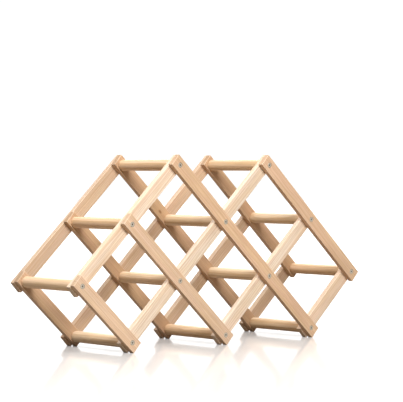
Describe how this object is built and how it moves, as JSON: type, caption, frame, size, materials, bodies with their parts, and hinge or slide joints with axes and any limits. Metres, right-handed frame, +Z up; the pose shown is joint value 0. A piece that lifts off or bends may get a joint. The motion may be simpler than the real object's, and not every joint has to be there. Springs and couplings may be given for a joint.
{
  "type": "wine rack",
  "caption": "Folding pine wine rack: front and rear lattices of crossed slats held apart by dowels, with diamond bays that each hold a bottle lying on its side.",
  "frame": {"origin": "middle of the footprint, on the surface that the rack stands on", "axes": "+X along the row of bays, to the right for someone in front; -Y to the front, where the bottles' necks point; +Z up"},
  "size_m": [0.5066, 0.1312, 0.2502],
  "materials": {
    "pine": "sanded and clear, straight grain along each slat",
    "dowel_pine": "turned and sanded, grain along the dowel",
    "zinc_steel": "bright zinc"
  },
  "bodies": {
    "middle_foot": {"dowel_foot_2": "dowel_pine", "front_screw_foot_2": "zinc_steel", "rear_screw_foot_2": "zinc_steel"},
    "falling_1": {"front_falling_slat_1": "pine", "rear_falling_slat_1": "pine", "dowel_foot_1": "dowel_pine", "front_screw_foot_1": "zinc_steel", "rear_screw_foot_1": "zinc_steel", "dowel_low_1": "dowel_pine", "front_screw_low_1": "zinc_steel", "rear_screw_low_1": "zinc_steel"},
    "falling_2": {"front_falling_slat_2": "pine", "rear_falling_slat_2": "pine", "dowel_low_2": "dowel_pine", "front_screw_low_2": "zinc_steel", "rear_screw_low_2": "zinc_steel", "dowel_middle_1": "dowel_pine", "front_screw_middle_1": "zinc_steel", "rear_screw_middle_1": "zinc_steel"},
    "falling_3": {"front_falling_slat_3": "pine", "rear_falling_slat_3": "pine", "dowel_foot_3": "dowel_pine", "front_screw_foot_3": "zinc_steel", "rear_screw_foot_3": "zinc_steel", "dowel_low_3": "dowel_pine", "front_screw_low_3": "zinc_steel", "rear_screw_low_3": "zinc_steel", "dowel_middle_2": "dowel_pine", "front_screw_middle_2": "zinc_steel", "rear_screw_middle_2": "zinc_steel", "dowel_top_1": "dowel_pine", "front_screw_top_1": "zinc_steel", "rear_screw_top_1": "zinc_steel"},
    "falling_4": {"front_falling_slat_4": "pine", "rear_falling_slat_4": "pine", "dowel_low_4": "dowel_pine", "front_screw_low_4": "zinc_steel", "rear_screw_low_4": "zinc_steel", "dowel_middle_3": "dowel_pine", "front_screw_middle_3": "zinc_steel", "rear_screw_middle_3": "zinc_steel", "dowel_top_2": "dowel_pine", "front_screw_top_2": "zinc_steel", "rear_screw_top_2": "zinc_steel"},
    "rising_1": {"front_rising_slat_1": "pine", "rear_rising_slat_1": "pine"},
    "rising_2": {"front_rising_slat_2": "pine", "rear_rising_slat_2": "pine"},
    "rising_3": {"front_rising_slat_3": "pine", "rear_rising_slat_3": "pine"},
    "rising_4": {"front_rising_slat_4": "pine", "rear_rising_slat_4": "pine"}
  },
  "joints": [
    {"name": "falling_2_fold", "type": "hinge", "parent": "middle_foot", "child": "falling_2", "pos_m": [0, 0, 0.01309], "axis": [0, 1, 0], "range_deg": [-37.5, 41.5]},
    {"name": "rising_3_fold", "type": "hinge", "parent": "middle_foot", "child": "rising_3", "pos_m": [0, 0, 0.01309], "axis": [0, -1, 0], "range_deg": [-37.5, 41.5]},
    {"name": "rising_1_fold", "type": "hinge", "parent": "falling_2", "child": "rising_1", "pos_m": [-0.15943, 0, 0.16176], "axis": [0, -1, 0], "range_deg": [-75, 83]},
    {"name": "rising_2_fold", "type": "hinge", "parent": "falling_2", "child": "rising_2", "pos_m": [-0.07972, 0, 0.08742], "axis": [0, -1, 0], "range_deg": [-75, 83]},
    {"name": "falling_3_fold", "type": "hinge", "parent": "rising_3", "child": "falling_3", "pos_m": [0.07972, 0, 0.08742], "axis": [0, 1, 0], "range_deg": [-75, 83]},
    {"name": "falling_4_fold", "type": "hinge", "parent": "rising_3", "child": "falling_4", "pos_m": [0.15943, 0, 0.16176], "axis": [0, 1, 0], "range_deg": [-75, 83]},
    {"name": "falling_1_fold", "type": "hinge", "parent": "rising_1", "child": "falling_1", "pos_m": [-0.23915, 0, 0.08742], "axis": [0, 1, 0], "range_deg": [-75, 83]},
    {"name": "rising_4_fold", "type": "hinge", "parent": "falling_4", "child": "rising_4", "pos_m": [0.23915, 0, 0.08742], "axis": [0, -1, 0], "range_deg": [-75, 83]}
  ],
  "couplings": [
    {"joint": "rising_3_fold", "follows": "falling_2_fold", "ratio": 1},
    {"joint": "rising_1_fold", "follows": "falling_2_fold", "ratio": 2},
    {"joint": "rising_2_fold", "follows": "falling_2_fold", "ratio": 2},
    {"joint": "falling_3_fold", "follows": "falling_2_fold", "ratio": 2},
    {"joint": "falling_4_fold", "follows": "falling_2_fold", "ratio": 2},
    {"joint": "falling_1_fold", "follows": "falling_2_fold", "ratio": 2},
    {"joint": "rising_4_fold", "follows": "falling_2_fold", "ratio": 2}
  ]
}
